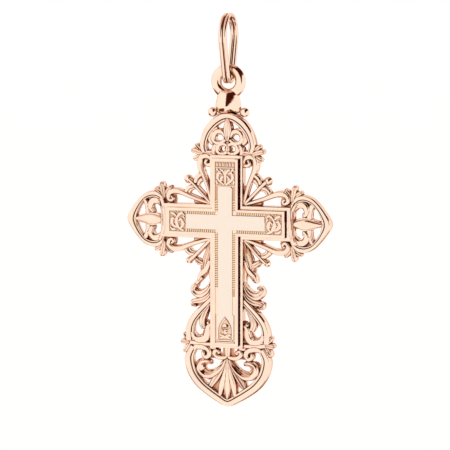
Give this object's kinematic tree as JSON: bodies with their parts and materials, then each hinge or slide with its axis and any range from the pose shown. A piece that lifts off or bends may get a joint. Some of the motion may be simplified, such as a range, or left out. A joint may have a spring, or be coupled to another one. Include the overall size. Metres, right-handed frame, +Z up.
{
  "type": "orthodox cross pendant",
  "caption": "Openwork orthodox cross pendant with a raised bevelled cross, scrolled finials, ball-tipped rays and a pear-shaped double-wire bail that it swings from.",
  "frame": {"origin": "top of the bail's inside, where a chain carries the pendant", "axes": "+Z up along the long bar of the cross, +X to the viewer's right, the front faces -Y"},
  "size_m": [0.026, 0.0056, 0.0483],
  "materials": {
    "red_gold_wire": "polished red gold wire",
    "red_gold_cast": "polished cast red gold with darker recesses"
  },
  "bodies": {
    "bail": {"bail_ring": "red_gold_wire"},
    "cross": {"cross_casting": "red_gold_cast"}
  },
  "joints": [
    {"name": "cross_swing", "type": "hinge", "parent": "bail", "child": "cross", "pos_m": [0, 0, -0.00768], "axis": [0, 1, 0], "range_deg": [-85, 85]}
  ]
}
